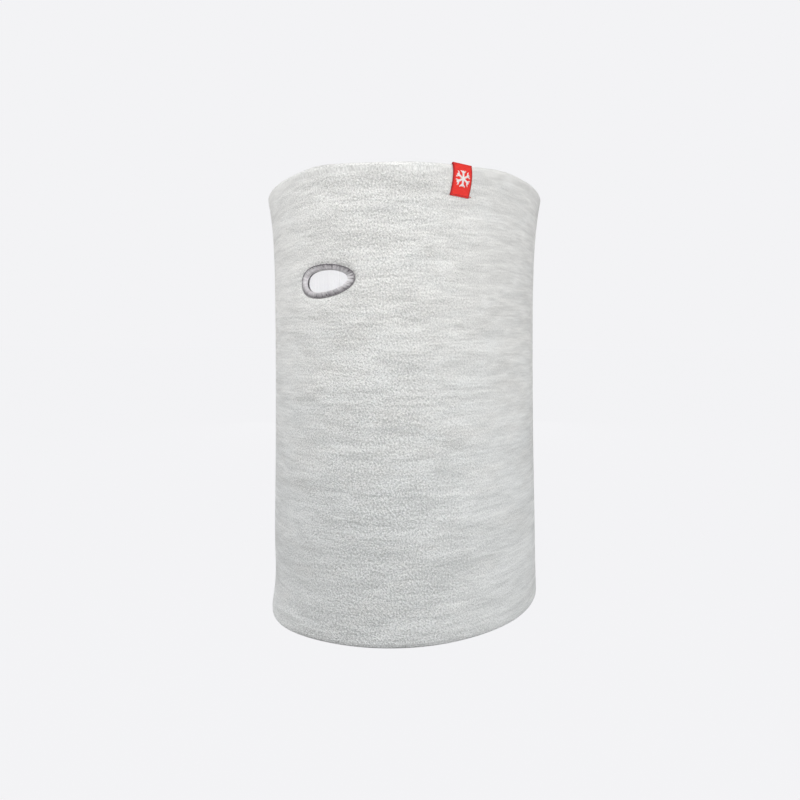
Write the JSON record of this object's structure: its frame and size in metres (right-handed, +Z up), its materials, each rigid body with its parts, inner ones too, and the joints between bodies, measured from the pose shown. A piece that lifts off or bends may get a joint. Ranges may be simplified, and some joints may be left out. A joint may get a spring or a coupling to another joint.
{
  "type": "neck gaiter",
  "caption": "Soft two-layer neck gaiter: a flared cloth tube with an embroidered oval breathing vent and a folded label on the top hem.",
  "frame": {"origin": "middle of the bottom hem, on the surface the tube stands on", "axes": "+Z up, from bottom hem to top hem; -Y is the front, with the vent; +X is the wearer's left"},
  "size_m": [0.1586, 0.1844, 0.2448],
  "materials": {
    "heather_fleece": "brushed heather fleece, matt",
    "lining_knit": "fine warm-white knit, matt",
    "overlock_thread": "pale grey spun thread",
    "seam_thread": "pale grey textured thread",
    "satin_thread": "grey embroidery thread, slightly shiny",
    "backing": "white non-woven stabiliser",
    "label_red": "red woven label ribbon, slightly shiny",
    "label_white": "white label thread",
    "label_thread": "dark red sewing thread",
    "care_satin": "white satin ribbon, blank"
  },
  "bodies": {
    "tube": {"outer_shell": "heather_fleece", "inner_lining": "lining_knit", "top_overlock_seam": "overlock_thread", "bottom_overlock_seam": "overlock_thread", "shell_back_seam": "seam_thread", "lining_back_seam": "seam_thread", "vent_satin_stitch": "satin_thread", "vent_bobbin_stitch": "satin_thread", "vent_backing": "backing", "woven_label": "label_red", "label_emblem": "label_white", "label_stitches": "label_thread", "label_stitches_inside": "label_thread"},
    "care_flap": {"care_label": "care_satin"}
  },
  "joints": [
    {"name": "care_label_turn", "type": "hinge", "parent": "tube", "child": "care_flap", "pos_m": [0.00315, 0.08331, 0.07], "axis": [0, 0, -1], "range_deg": [0, 150]}
  ]
}
